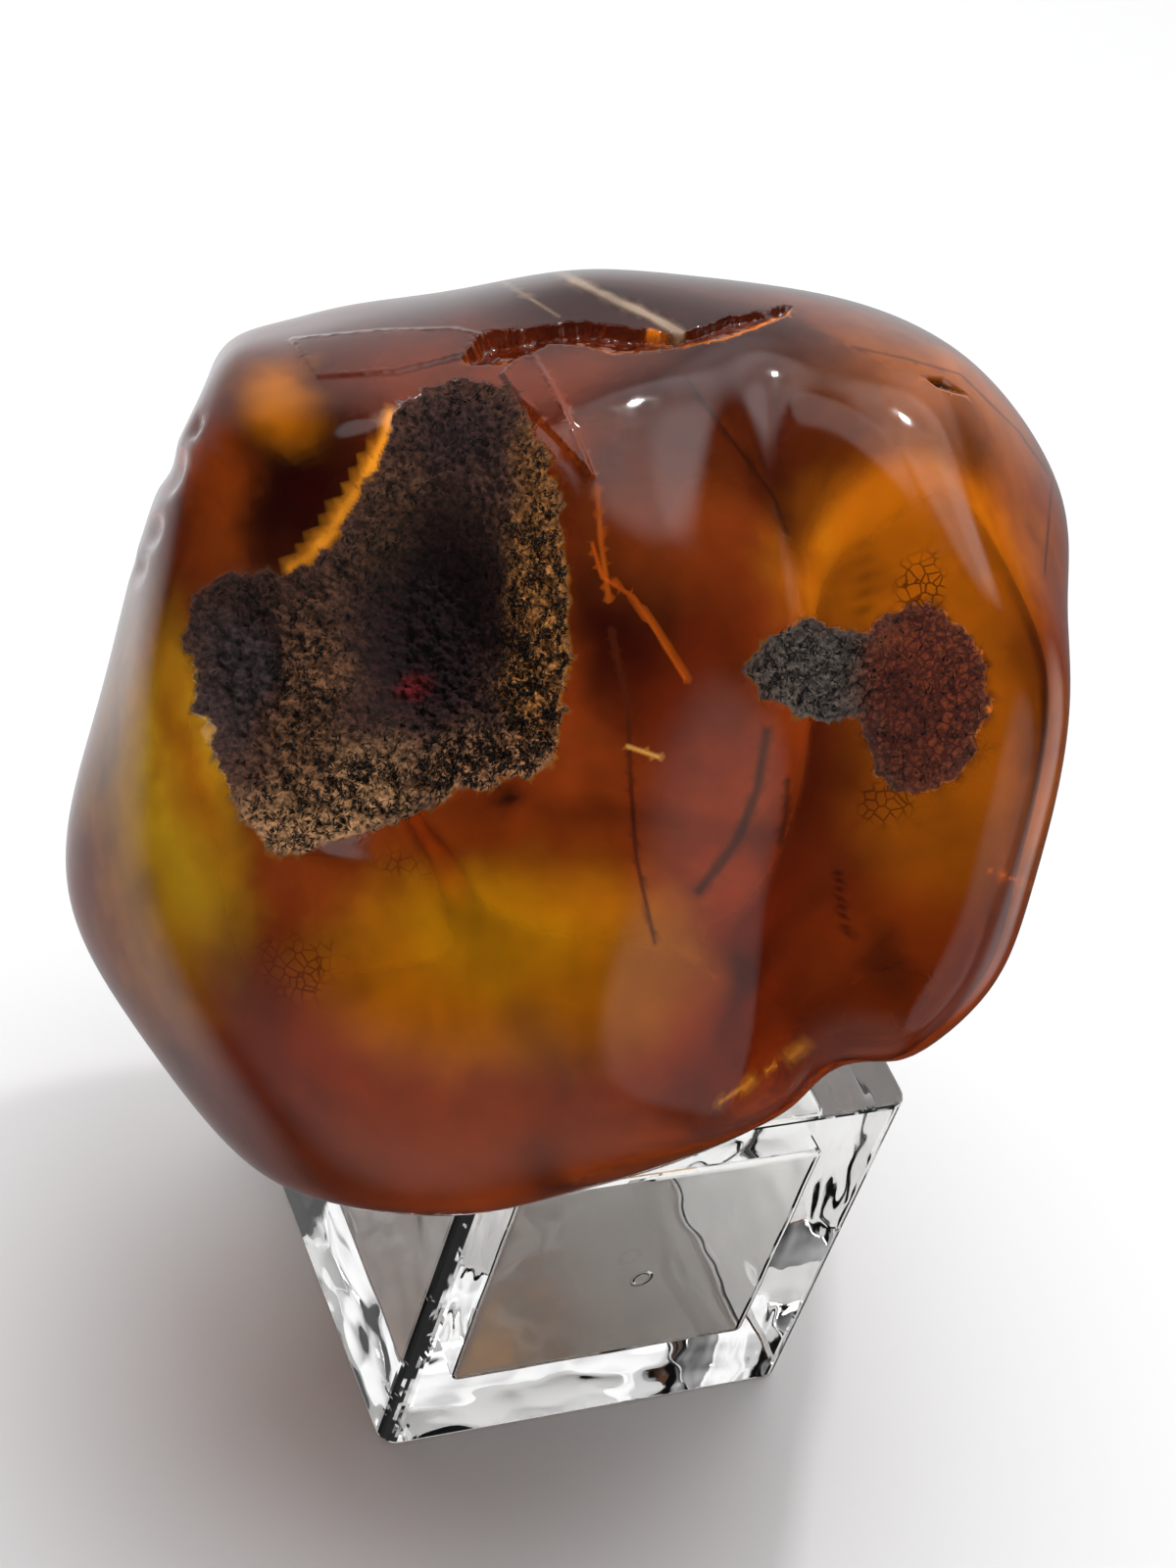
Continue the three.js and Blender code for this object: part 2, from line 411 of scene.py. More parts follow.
# The ledge under the top ridge: its upper edge, from left to right, and its lower lip.
ledge_edge = [
    (-6.0, 23.6), (-5.5, 24.2), (-2.3, 24.5), (0.5, 24.8), (3.4, 24.3), (6.1, 24.0), (9.1, 25.1),
    (12.6, 25.7),
]
ledge_lip = [
    (-6.9, 22.3), (-4.1, 22.2), (-1.6, 23.5), (0.1, 23.4), (2.4, 22.8), (6.6, 23.3), (9.4, 24.0),
    (12.3, 25.2),
]

# Two small flats with glinting edges: the bevel at the upper left, and the wedge beside the knob.
bevel_flat = [
    (-16.8, 23.7), (-11.5, 24.2), (-7.1, 24.3), (-5.6, 23.9), (-6.7, 22.8), (-10.6, 21.8), (-15.2, 21.5),
]
wedge_flat = [
    (-4.4, 21.6), (-3.4, 22.7), (-2.5, 22.6), (-1.3, 20.6), (0.1, 17.6), (0.9, 15.6), (-1.2, 17.9),
    (-3.2, 20.0),
]

# Fine lines in and on the skin: a path, its half width in millimetres, its colour and its strength.
hairlines = [
    ([(2.0, 6.5), (3.0, 2.0), (3.2, -3.0), (3.5, -7.0), (4.6, -12.0)], 0.16, "#240606", 0.9),
    ([(11.2, 0.5), (10.6, -3.0), (9.4, -6.0), (8.2, -7.6), (7.2, -8.9)], 0.34, "#1c0808", 0.9),
    ([(12.4, -2.4), (12.3, -4.6), (12.0, -6.0)], 0.2, "#1c0808", 0.8),
    ([(15.4, -7.5), (15.5, -9.4), (16.0, -11.6)], 0.16, "#200404", 0.9),
    ([(16.9, 11.6), (16.9, 7.5)], 0.1, "#2c2008", 0.8),
    ([(0.9, 11.6), (1.5, 9.6), (3.4, 8.4), (6.4, 3.6)], 0.1, "#c04810", 0.7),
    ([(1.2, 15.0), (1.4, 11.8), (1.9, 8.2)], 0.14, "#c05010", 0.6),
    ([(16.2, 23.3), (19.4, 22.6), (22.6, 21.7), (26.0, 18.4), (28.0, 15.6), (27.6, 10.0)],
     0.08, "#300a04", 0.8),
    ([(6.4, 21.4), (8.0, 19.2), (10.0, 16.6), (11.6, 14.4), (12.4, 12.2)], 0.12, "#180808", 0.8),
    # The bright orange line along the ledge's lip is painted glow.
    ([(4.3, 24.2), (6.2, 23.6), (8.6, 23.8), (10.4, 24.5), (12.4, 25.4)], 0.2, "#f08018", 1.0),
    ([(-11.0, 19.2), (-11.4, 17.4), (-12.5, 15.4), (-14.2, 12.7), (-15.6, 11.0), (-16.8, 10.2)],
     0.5, "#ffa028", 1.0),
    ([(8.4, -21.4), (11.0, -19.6), (13.6, -18.0)], 0.14, "#d08828", 0.8),
    ([(24.2, -7.6), (26.9, -8.6)], 0.12, "#e06a20", 0.7),
    ([(-1.3, 27.9), (1.6, 26.4), (3.8, 25.4), (6.1, 24.1)], 0.28, "#c8b49c", 0.7),
    ([(-5.3, 27.8), (-1.1, 25.1)], 0.1, "#c8b49c", 0.5),
    ([(3.0, -0.4), (4.8, -1.0)], 0.12, "#e0a860", 0.8),
]

# A small chip in the right shoulder.
chip = [(20.5, 21.5), (21.6, 21.4), (23.1, 20.4), (22.3, 20.6), (21.3, 20.9)]
print("corners of the crust:", len(hollow_crust), len(valley_crust), len(ring_crust))
print("fine lines:", len(hairlines))

# %% Divide a sphere, finer where the crust and the ledge are
crust_margin = 0.5
bevel_margin = 0.6
wedge_margin = 0.5
line_margin = 0.25
front_starts = 3
ledge_outline = ledge_edge + ledge_lip[::-1]
ball = bmesh.new()
bmesh.ops.create_icosphere(ball, subdivisions=7, radius=1.0)


def rays_of(shape):
    """Directions of the shape's points from its centre."""
    rays = np.array([v.co for v in shape.verts])
    return rays / np.linalg.norm(rays, axis=1)[:, None]


def crust_distance(x, y):
    """Distance inside the nearest crust, in millimetres, negative outside them all."""
    outlines = (hollow_crust, valley_crust, ring_crust)
    return np.max([inside_outline(x, y, outline) for outline in outlines], axis=0)


def fine_zone(points):
    """True where the skin needs small faces."""
    x, y = face_map(points)
    fine = crust_distance(x, y) > -crust_margin
    for outline in (ledge_outline, chip):
        fine |= inside_outline(x, y, outline) > -crust_margin
    fine |= np.abs(inside_outline(x, y, bevel_flat)) < bevel_margin
    fine |= np.abs(inside_outline(x, y, wedge_flat)) < wedge_margin
    for path, width, _, _ in hairlines:
        fine |= along_path(x, y, path)[0] < width + line_margin
    return fine & (points[:, 2] > front_starts)


def divide_fine_zone(shape):
    """Every edge between two points of the fine zone is cut in half once."""
    shape.verts.ensure_lookup_table()
    fine = fine_zone(skin_along(rays_of(shape)))
    chosen = {v for v, is_fine in zip(shape.verts, fine) if is_fine}
    edges = [e for e in shape.edges if e.verts[0] in chosen and e.verts[1] in chosen]
    bmesh.ops.subdivide_edges(shape, edges=edges, cuts=1, use_grid_fill=False)
    bmesh.ops.triangulate(shape, faces=[f for f in shape.faces if len(f.verts) > 3])


divide_fine_zone(ball)
divide_fine_zone(ball)
skin = skin_along(rays_of(ball))
map_x, map_y = face_map(skin)
print(len(ball.faces), "triangles in the nugget's skin")

# %% [markdown]
# ## Crust, ledge and flats
#
# The crust is what is left of the resin's weathered rind: a rough, velvety layer of small crumbs, a
# little below the polish. The ledge is where a flake lifted: a sheer edge above, a slope up to the lip
# below. The two flats stand a hair proud, and their rounded edges glint. All of it is cut into the
# mesh itself, so that it catches the light from any side.

# %% Roughen the crust, open the ledge and raise the flats


def noise_at(points, size, seed, octaves=3):
    """Smooth noise from about -1 to 1 that changes over a size in millimetres."""
    shift = Vector((seed * 17.3, seed * 5.7, seed * 11.1))
    return np.array([noise.fractal(Vector(p) / size + shift, 0.6, 2.0, octaves) for p in points])


def smooth_step(low, high, value):
    """0 below the lower limit, 1 above the upper one, and a soft rise between them."""
    t = np.clip((value - low) / (high - low), 0, 1)
    return t * t * (3 - 2 * t)


front = np.clip((skin[:, 2] - 2) / 4, 0, 1)
rim_wander = noise_at(skin, 1.6, 1) * 0.45
hollow_depth = inside_outline(map_x, map_y, hollow_crust) + rim_wander
valley_depth = inside_outline(map_x, map_y, valley_crust) + rim_wander
ring_depth = inside_outline(map_x, map_y, ring_crust) + rim_wander
crust_depth = np.maximum(hollow_depth, np.maximum(valley_depth, ring_depth * 0.8))
crust = np.clip(crust_depth / 0.8 + 0.5, 0, 1) * front

# Each patch of crust sinks by a depth of its own, and has more or fewer crumbs.
crumbs = noise_at(skin, 0.9, 2, 4) * 0.28 + noise_at(skin, 0.35, 3, 2) * 0.18
hollow_pit, hollow_pit_depth = (-9.2, 6.6, 5.6, 8.4, -8, 4), 1.1
left_basin, left_basin_depth = (-20.4, 4.4, 2.8, 5.2, 0, 4), 0.6
sink = np.clip(hollow_depth / 1.0, 0, 1) * (0.30 + crumbs)
sink += smooth_step(0.25, 0.85, oval(map_x, map_y, hollow_pit)) * hollow_pit_depth
sink += smooth_step(0.25, 0.85, oval(map_x, map_y, left_basin)) * left_basin_depth
sink += np.clip(valley_depth / 1.0, 0, 1) * (0.18 + crumbs * 0.5)
sink += np.clip(ring_depth / 1.0, 0, 1) * (0.06 + crumbs * 0.25)

# The ledge is deepest under its upper edge, and gets shallower to the right and toward the lip.
ragged = noise_at(skin, 0.8, 4) * 0.22
from_edge, edge_share = along_path(map_x, map_y, ledge_edge)
from_lip = along_path(map_x, map_y, ledge_lip)[0]
in_ledge = inside_outline(map_x, map_y, ledge_outline) + ragged * 0.6
slope = from_edge / (from_edge + from_lip + 1e-6)
ledge = smooth_step(-0.06, 0.12, in_ledge) * front
ledge_depth = 1.25 - 0.75 * edge_share
chip_depth = 0.45
in_chip = inside_outline(map_x, map_y, chip)
sink += ledge * ledge_depth * (1 - 0.85 * slope) + ledge * ragged * 0.4
sink += smooth_step(-0.05, 0.25, in_chip) * chip_depth

# The flats rise by these heights, and a fine ridge runs along their rims.
bevel_height, wedge_height = 0.13, 0.12
ridge_height, ridge_roughness, ridge_width = 0.07, 0.05, 0.13
flats = smooth_step(-0.28, 0.28, inside_outline(map_x, map_y, bevel_flat)) * bevel_height
flats += smooth_step(-0.22, 0.22, inside_outline(map_x, map_y, wedge_flat)) * wedge_height
for flat in (bevel_flat, wedge_flat):
    rim = inside_outline(map_x, map_y, flat)
    ridge = ridge_height + ridge_roughness * noise_at(skin, 0.5, 9, 2)
    flats += np.exp(-(rim / ridge_width) ** 2) * ridge

# Small pits along the left edge, each an oval and its depth.
pits = [
    (-23.9, 16.0, 0.5, 1.3, -18, 3, 0.6),
    (-25.1, 12.4, 0.4, 0.9, -20, 3, 0.5),
    (-25.9, 10.4, 0.35, 0.8, -12, 3, 0.5),
    (-22.6, 18.6, 0.3, 0.7, -24, 3, 0.4),
]
sink += sum(spot[6] * oval(map_x, map_y, spot) for spot in pits)
sink = (sink - flats) * front
skin_radius = np.linalg.norm(skin, axis=1)
carved = skin * ((skin_radius - sink) / skin_radius)[:, None]
to_world = np.array(view_axes)
world = (carved @ to_world.T + np.array(nugget_centre)) * mm
for vertex, place in zip(ball.verts, world):
    vertex.co = place

nugget_mesh = bpy.data.meshes.new("polished_nugget")
ball.to_mesh(nugget_mesh)
ball.free()
nugget_mesh.shade_smooth()
print("crust covers", round(float((crust > 0.5).mean()), 3), "of the points")

# %% [markdown]
# ## Zones of colour
#
# Old amber darkens from outside in. Where the polish went deep, the gold inside shows like a window;
# elsewhere the skin stays red-brown. Those zones are laid on the face map as soft ovals, one over the
# other, and kept on the mesh as a colour attribute.

# %% Lay the zones
skin_tone = "#6a1c0c"
zones = [
    ("#380604", (0.0, 27.0, 20, 4.5, 0, 3), 1.0),
    ("#280301", (5.8, 5.0, 6.0, 11.0, 0, 3), 1.0),
    ("#080000", (2.4, 8.6, 3.6, 8.6, 0, 5), 1.0),
    ("#681406", (9.0, -11.0, 5.0, 8.0, 0, 2), 0.9),
    ("#5c2006", (-4.0, -25.0, 19.0, 5.0, 0, 3), 0.9),
    ("#561a0c", (5.8, 17.0, 6.5, 6.5, 0, 3), 1.0),
    ("#ffd820", (-24.6, -4.0, 4.0, 11.0, 6, 4), 0.95),
    ("#a04c04", (-23.1, -1.0, 1.5, 7.0, 15, 3), 0.9),
    ("#5c1a02", (-6.4, -6.5, 11.0, 4.0, 0, 4), 0.9),
    ("#a86c02", (-4.3, -13.6, 11.0, 6.2, 0, 6), 1.0),
    ("#d09c02", (-4.9, -11.5, 5.0, 3.4, -14, 4), 0.7),
    ("#060000", (-17.0, 15.0, 6.4, 7.4, 0, 5), 1.0),
    ("#e88c08", (-17.8, 20.3, 2.2, 2.2, 0, 3), 1.0),
    ("#a43c10", (-21.5, 14.5, 1.6, 4.5, 0, 3), 0.8),
    ("#380608", (13.8, 12.0, 3.4, 6.0, 0, 3), 0.9),
    ("#ec7c04", (19.7, 10.5, 7.0, 7.0, 0, 5), 1.0),
    ("#e87c06", (22.0, -1.0, 5.5, 9.0, 0, 4), 0.9),
    ("#7a2404", (21.4, -13.5, 7.5, 5.5, 0, 4), 0.9),
    ("#d87010", (20.8, 20.3, 7.0, 3.5, -20, 3), 0.8),
    ("#1c0404", (18.2, -12.8, 1.7, 1.5, 30, 3), 0.8),
    ("#200a0a", (9.6, -12.9, 0.5, 1.3, 10, 2), 0.8),
    ("#38100c", (10.7, -13.0, 0.4, 1.5, -12, 2), 0.8),
    ("#040000", (-4.0, -3.5, 0.8, 0.6, 0, 3), 0.98),
]

wavy_x = map_x + noise_at(skin, 4.0, 12, 4) * 0.9
wavy_y = map_y + noise_at(skin, 4.0, 13, 4) * 0.9


def toned(colours, tone, share):
    """Colours mixed toward one tone, by a share for each point."""
    share = share[:, None]
    return colours * (1 - share) + np.array(linear(tone)) * share


def laid_over(ground, spots):
    """Colours of the points: a ground tone with soft ovals of other tones laid on it in turn."""
    colours = np.tile(np.array(linear(ground)), (len(skin), 1))
    for tone, spot, strength in spots:
        colours = toned(colours, tone, oval(wavy_x, wavy_y, spot) * strength * front)
    return colours


line_wobble = noise_at(skin, 1.0, 5, 1)


def line_share(path, width):
    """1 on a fine line and 0 beside it, with a slightly uneven edge."""
    gap = along_path(map_x, map_y, path)[0] + line_wobble * width * 0.3
    return np.clip(1.4 - gap / width, 0, 1)


tint = laid_over(skin_tone, zones)
for path, width, tone, strength in hairlines:
    tint = toned(tint, tone, line_share(path, width) * strength * front)
# Painted shade and glow on the ledge: dark red, strongest under its sheer upper edge, and bright orange
# toward the lip, as if light shone through it.
tint = toned(tint, "#5a1206", np.clip(ledge * (1.1 - slope), 0, 1) * 0.9)
tint = toned(tint, "#d86a18", smooth_step(0.6, 0.95, slope) * ledge * np.clip(ragged * 2 + 0.6, 0, 1))
tint = toned(tint, "#140404", smooth_step(-0.05, 0.15, in_chip) * 0.95)
back = np.clip((2 - skin[:, 2]) / 8, 0, 1)
tint = toned(tint, "#ffcf80", back)

# The crust's tones: almost black in the pits, where painted shade deepens the rind's dark brown, and tan
# along the right and lower rims.
rind_tone_and_shade = laid_over("#40261c", [
    ("#94602e", (-2.2, 7.5, 2.4, 11.0, 0, 4), 1.0),
    ("#8c6040", (-5.0, -1.6, 5.4, 2.4, -8, 4), 1.0),
    ("#8c6644", (-15.0, -4.0, 6.4, 3.2, 18, 4), 1.0),
    ("#644229", (-16.3, 2.0, 2.4, 5.4, 0, 3), 0.9),
    ("#583a24", (-11.6, 12.5, 2.0, 5.0, -28, 3), 0.7),
    ("#241414", (-7.2, 18.2, 3.2, 3.0, 0, 3), 0.9),
    # Painted shade: the deep pit and the left basin are darkened past the rind's own brown.
    ("#18070a", (-9.4, 6.8, 4.8, 7.8, -8, 5), 1.0),
    ("#2c2222", (-20.6, 4.4, 2.4, 4.8, 0, 4), 0.95),
    ("#6c0810", (-10.6, 3.4, 0.9, 0.8, 0, 2), 0.6),
    ("#4a423c", (14.2, 4.2, 4.4, 3.4, 0, 4), 1.0),
    ("#62280f", (20.6, 2.6, 3.8, 5.6, 0, 5), 1.0),
    ("#340f0a", (19.6, 2.0, 1.8, 3.0, 0, 3), 0.6),
])
clouds = np.clip(1 + 0.45 * noise_at(skin, 5.0, 14, 4), 0.6, 1.4)
tint = tint * clouds[:, None]
rind_cover = smooth_step(0.3, 0.6, crust)[:, None]
tint = tint * (1 - rind_cover) + rind_tone_and_shade * rind_cover


def keep_attribute(mesh, name, kind, values):
    """Values for each point, kept on the mesh under a name that a shader can ask for."""
    attribute = mesh.attributes.new(name, kind, "POINT")
    field = "color" if kind == "FLOAT_COLOR" else "value"
    attribute.data.foreach_set(field, np.ascontiguousarray(values, dtype=np.float32).ravel())

# Cloudy amber scatters some of the light: a little in the gold windows, much on the glowing fractures.
cloudy = np.full(len(skin), 0.06)
for spot, amount in [
    ((-24.0, -3.0, 4.0, 11.0, 6, 3), 0.22),
    ((-4.3, -13.6, 11.0, 6.2, 0, 4), 0.26),
    ((-17.8, 20.3, 2.2, 2.2, 0, 2), 0.25),
    ((20.2, 8.0, 8.0, 10.0, 0, 3), 0.28),
    ((20.8, 20.3, 7.0, 3.5, -20, 2), 0.3),
]:
    cloudy = np.maximum(cloudy, amount * oval(map_x, map_y, spot))
for path, width, tone, strength in hairlines:
    scatter = 0.75 if linear(tone)[0] > 0.5 else 0.35
    cloudy = np.maximum(cloudy, line_share(path, width) * strength * scatter)
cloudy = np.maximum(cloudy, smooth_step(0.55, 0.95, slope) * ledge * 0.5) * front + 0.04 * (1 - front)

crazed = np.max([
    oval(map_x, map_y, (20.6, 2.4, 4.6, 5.8, 0, 3)),
    oval(map_x, map_y, (20.4, 9.0, 1.9, 2.8, -12, 2)),
    oval(map_x, map_y, (18.2, -3.9, 2.2, 1.8, 0, 2)),
    oval(map_x, map_y, (-16.4, -13.6, 3.4, 3.4, 0, 2)) * 0.8,
    oval(map_x, map_y, (-10.5, -7.6, 4.5, 1.8, -12, 2)) * 0.6,
], axis=0) * front
rippled = oval(map_x, map_y, (-20.4, 15.4, 2.2, 3.6, 0, 2)) * front
# The tint carries the mask of the crust as its alpha.
keep_attribute(nugget_mesh, "tint", "FLOAT_COLOR", np.column_stack([tint, crust]))
keep_attribute(nugget_mesh, "back", "FLOAT", back)
keep_attribute(nugget_mesh, "crazed", "FLOAT", crazed)
keep_attribute(nugget_mesh, "cloudy", "FLOAT", cloudy)
keep_attribute(nugget_mesh, "rippled", "FLOAT", rippled)
print(len(zones), "zones laid")

# %% [markdown]
# ## Amber
#
# Amber is a clear resin with an index of about 1.54. Light that crosses it loses blue first, then
# green, so thin places look yellow and thick ones red. The shader lets all light through where the
# surface is polished, tints it with the zone colour as the old skin does, and an even absorption inside
# deepens it with distance. Crust stops the light and scatters it, so there the transmission falls to
# nothing and the surface turns matt.

# %% Amber material
amber_index = 1.54
amber = bpy.data.materials.new("hand_polished_amber")
amber.use_nodes = True
tree = amber.node_tree
tree.nodes.clear()
place = add_node(tree, "ShaderNodeTexCoord").outputs["Object"]


def kept(name, output="Fac"):
    """One of the mesh's own attributes."""
    return add_node(tree, "ShaderNodeAttribute", {"attribute_name": name}).outputs[output]


def blotches(size, detail, rough=0.5):
    """Noise whose blotches are about that many millimetres across."""
    return add_node(tree, "ShaderNodeTexNoise", Vector=place, Scale=1 / (size * mm), Detail=detail,
                    Roughness=rough).outputs["Fac"]


def reshape(value, from_low, from_high, to_low=0.0, to_high=1.0, smooth=True):
    """A value stretched from one range to another."""
    kind = "SMOOTHSTEP" if smooth else "LINEAR"
    return add_node(tree, "ShaderNodeMapRange", {"interpolation_type": kind}, _0=value, _1=from_low,
                    _2=from_high, _3=to_low, _4=to_high).outputs[0]


def sum_of(first, share, second):
    """first times share, plus second."""
    return add_node(tree, "ShaderNodeMath", {"operation": "MULTIPLY_ADD"}, _0=first, _1=share,
                    _2=second).outputs[0]


def product(first, second):
    """Two values multiplied."""
    return add_node(tree, "ShaderNodeMath", {"operation": "MULTIPLY"}, _0=first, _1=second).outputs[0]


def between(share, first, second):
    """A number on the way from the first to the second."""
    return add_node(tree, "ShaderNodeMix", {"data_type": "FLOAT"}, _0=share, _2=first,
                    _3=second).outputs[0]


def scaled(colour, factor):
    """A colour made lighter or darker."""
    return add_node(tree, "ShaderNodeVectorMath", {"operation": "SCALE"}, _0=colour,
                    Scale=factor).outputs[0]


# The rind breaks up at its rim, and its crumbs are pale on top and dark between.
rind = reshape(sum_of(blotches(0.5, 2.0), 0.7, sum_of(kept("tint", "Alpha"), 1.0, -0.35)), 0.38, 0.62)
crumb_light = reshape(blotches(0.32, 2.0, 0.65), 0.38, 0.66, 0.45, 1.8, smooth=False)

colour = scaled(kept("tint", "Color"), between(rind, 1.0, crumb_light))

# Crazed places carry a net of dark red lines.
net_cell = 0.62
net = add_node(tree, "ShaderNodeTexVoronoi", {"feature": "DISTANCE_TO_EDGE"}, Vector=place,
               Scale=1 / (net_cell * mm), Randomness=1.0).outputs["Distance"]
net_line = reshape(net, 0.02, 0.12, 1.0, 0.0)
net_place = sum_of(blotches(1.4, 1.0), 0.8, sum_of(kept("crazed"), 1.0, -0.4))
net_share = product(net_line, reshape(net_place, 0.35, 0.75))
colour = add_node(tree, "ShaderNodeMix", {"data_type": "RGBA"}, _0=product(net_share, 0.85), _6=colour,
                  _7=(*linear("#3c0a06"), 1)).outputs[2]

# Cloudy places and the rind pass less light. The unseen back is matt under a thin bright polish.
clearness = product(sum_of(rind, -1.0, 1.0), sum_of(kept("cloudy"), -1.0, 1.0))
haze = sum_of(kept("back"), 0.34, reshape(blotches(0.9, 1.0), 0.3, 0.8, 0.05, 0.12))
polish = between(rind, haze, 0.95)

# Crumbs stand up in the rind, and the polish keeps faint ripples where it crossed old ridges.
ripples = add_node(tree, "ShaderNodeTexWave", {"bands_direction": "Z"}, Vector=place,
                   Scale=1 / (3.6 * mm), Distortion=3.0, Detail=0.0).outputs["Fac"]
crumbs_high = product(blotches(0.22, 1.0, 0.7), kept("tint", "Alpha"))
height = sum_of(crumbs_high, 0.04, product(product(ripples, kept("rippled")), 0.05))
bump = add_node(tree, "ShaderNodeBump", Strength=1.0, Distance=1 * mm, Height=height).outputs[0]

shader = add_node(tree, "ShaderNodeBsdfPrincipled", Base_Color=colour, Transmission_Weight=clearness,
                  Roughness=polish, Normal=bump, Coat_Weight=product(kept("back"), clearness),
                  Coat_Roughness=0.03, Coat_IOR=amber_index, IOR=amber_index)
depth_loss = add_node(tree, "ShaderNodeVolumeAbsorption", Density=45.0)
depth_loss.inputs["Color"].default_value = (0.84, 0.62, 0.05, 1)
add_node(tree, "ShaderNodeOutputMaterial", Surface=shader.outputs[0], Volume=depth_loss.outputs[0])

nugget_mesh.materials.append(amber)
nugget = bpy.data.objects.new("polished_nugget", nugget_mesh)
bpy.context.scene.collection.objects.link(nugget)
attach(nugget, "root")
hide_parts("amber_nugget")
print("amber:", len(nugget_mesh.polygons), "faces")

# %% [markdown]
# ## Fur of the rind
#
# Along its rims the weathered rind stands up in short tan splinters, so fine that the crust looks like
# felt. Each splinter is a three-sided spike. One spike is made once and set down many thousand times,
# thick along the rims and thin in the pits. Its tone is taken from its place, then made lighter or
# darker by chance.

# %% Set the splinters
chance = np.random.default_rng(11)
root_depth = 0.04
spike = bmesh.new()
bmesh.ops.create_cone(spike, cap_ends=True, segments=3, radius1=0.5, radius2=0.12, depth=1.0)
bmesh.ops.triangulate(spike, faces=spike.faces)
spike_points = np.array([v.co for v in spike.verts]) + (0, 0, 0.5)
spike_faces = np.array([[v.index for v in f.verts] for f in spike.faces])
spike.free()

# Each place is an oval of the face map with the share of its points that carry a splinter.
thickets = [
    ((-2.3, 7.5, 2.4, 12.0, 0, 4), 1.0),
    ((-5.0, -1.8, 5.4, 2.4, -8, 4), 1.0),
    ((-15.0, -3.8, 6.4, 3.2, 18, 4), 1.0),
    ((-16.3, 3.0, 2.2, 6.0, 0, 3), 0.8),
    ((-12.6, 11.5, 2.4, 6.0, -28, 3), 0.55),
    ((-7.2, 18.8, 5.0, 2.6, 0, 3), 0.4),
    ((-19.0, 9.0, 3.4, 1.4, 0, 3), 0.5),
    ((14.0, 4.2, 4.6, 3.2, 0, 4), 0.5),
    ((20.6, 2.6, 4.0, 5.8, 0, 4), 0.22),
]
cover = np.max([oval(map_x, map_y, spot) * amount for spot, amount in thickets], axis=0)
cover = np.maximum(cover, 0.07) * smooth_step(0.55, 0.95, crust)
clumps = np.clip(0.75 + noise_at(skin, 0.7, 8, 2) * 1.6, 0.05, 1.4)
spike_share = 0.8
chosen = np.flatnonzero(chance.random(len(skin)) < cover * clumps * spike_share)
normals = np.empty(len(nugget_mesh.vertices) * 3)
nugget_mesh.vertices.foreach_get("normal", normals)
normals = normals.reshape(-1, 3)[chosen]
roots = world[chosen]

lean = chance.normal(size=(len(chosen), 3))
lean -= normals * (lean * normals).sum(1)[:, None]
lean /= np.linalg.norm(lean, axis=1)[:, None]
stand_up = chance.uniform(0.1, 0.6, len(chosen))[:, None]
axis = lean * np.sqrt(1 - stand_up ** 2) + normals * stand_up
side_a = np.cross(axis, normals + 0.3)
side_a /= np.linalg.norm(side_a, axis=1)[:, None]
side_b = np.cross(axis, side_a)
length = chance.uniform(0.2, 0.55, len(chosen)) * mm
width = chance.uniform(0.06, 0.13, len(chosen)) * mm
points = roots[:, None, :] - normals[:, None, :] * root_depth * mm
points = points + spike_points[None, :, 0, None] * (side_a * width[:, None])[:, None, :]
points = points + spike_points[None, :, 1, None] * (side_b * width[:, None])[:, None, :]
points = points + spike_points[None, :, 2, None] * (axis * length[:, None])[:, None, :]
faces = spike_faces[None] + (np.arange(len(chosen)) * len(spike_points))[:, None, None]

fur_mesh = bpy.data.meshes.new("rind_splinters")
fur_mesh.from_pydata(points.reshape(-1, 3), [], faces.reshape(-1, 3))
fur_tone_and_shade = laid_over("#7c5c44", [
    ("#cc9660", (-2.2, 7.5, 2.4, 11.0, 0, 4), 1.0),
    ("#c89c74", (-5.0, -1.8, 5.4, 2.4, -8, 4), 1.0),
    ("#c4a880", (-15.6, -4.0, 5.4, 3.2, 18, 4), 1.0),
    ("#966e48", (-16.3, 3.0, 2.2, 6.0, 0, 3), 1.0),
    ("#8c6a44", (-6.0, 18.6, 5.0, 2.6, 0, 3), 0.8),
    # Painted shade: splinters in the deep pit and the left basin are darker.
    ("#4c3030", (-9.4, 6.8, 4.6, 7.6, -8, 5), 1.0),
    ("#5c504c", (-20.6, 4.4, 2.4, 4.8, 0, 4), 0.9),
    ("#807468", (14.2, 4.2, 4.4, 3.4, 0, 4), 1.0),
    ("#94543c", (20.6, 2.6, 3.8, 5.6, 0, 4), 1.0),
])[chosen] * chance.uniform(0.3, 1.3, len(chosen))[:, None]
fur_tone_and_shade = np.repeat(fur_tone_and_shade, len(spike_points), axis=0)
solid = np.ones(len(fur_tone_and_shade))
keep_attribute(fur_mesh, "tone", "FLOAT_COLOR", np.column_stack([fur_tone_and_shade, solid]))

splinter_finish = bpy.data.materials.new("weathered_rind_splinters")
splinter_finish.use_nodes = True
tree = splinter_finish.node_tree
tree.nodes.clear()
place = add_node(tree, "ShaderNodeTexCoord").outputs["Object"]
flecked = scaled(kept("tone", "Color"), reshape(blotches(0.15, 2.0), 0.3, 0.7, 0.8, 1.2))
shader = add_node(tree, "ShaderNodeBsdfPrincipled", Base_Color=flecked, Roughness=0.85)
add_node(tree, "ShaderNodeOutputMaterial", Surface=shader.outputs[0])
fur_mesh.materials.append(splinter_finish)
fur = bpy.data.objects.new("rind_splinters", fur_mesh)
bpy.context.scene.collection.objects.link(fur)
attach(fur, "root")
print(len(chosen), "splinters,", len(fur_mesh.polygons), "faces")

# %% [markdown]
# ## Clear acrylic
#
# The stand is injection moulded in one shot. Its surfaces are bright and clear, its edges slightly
# round, and the front keeps the small round mark of the mould's gate. A cube gets the hollow by an
# inset and a push from the back face; its upright edges are rounded more than the others.

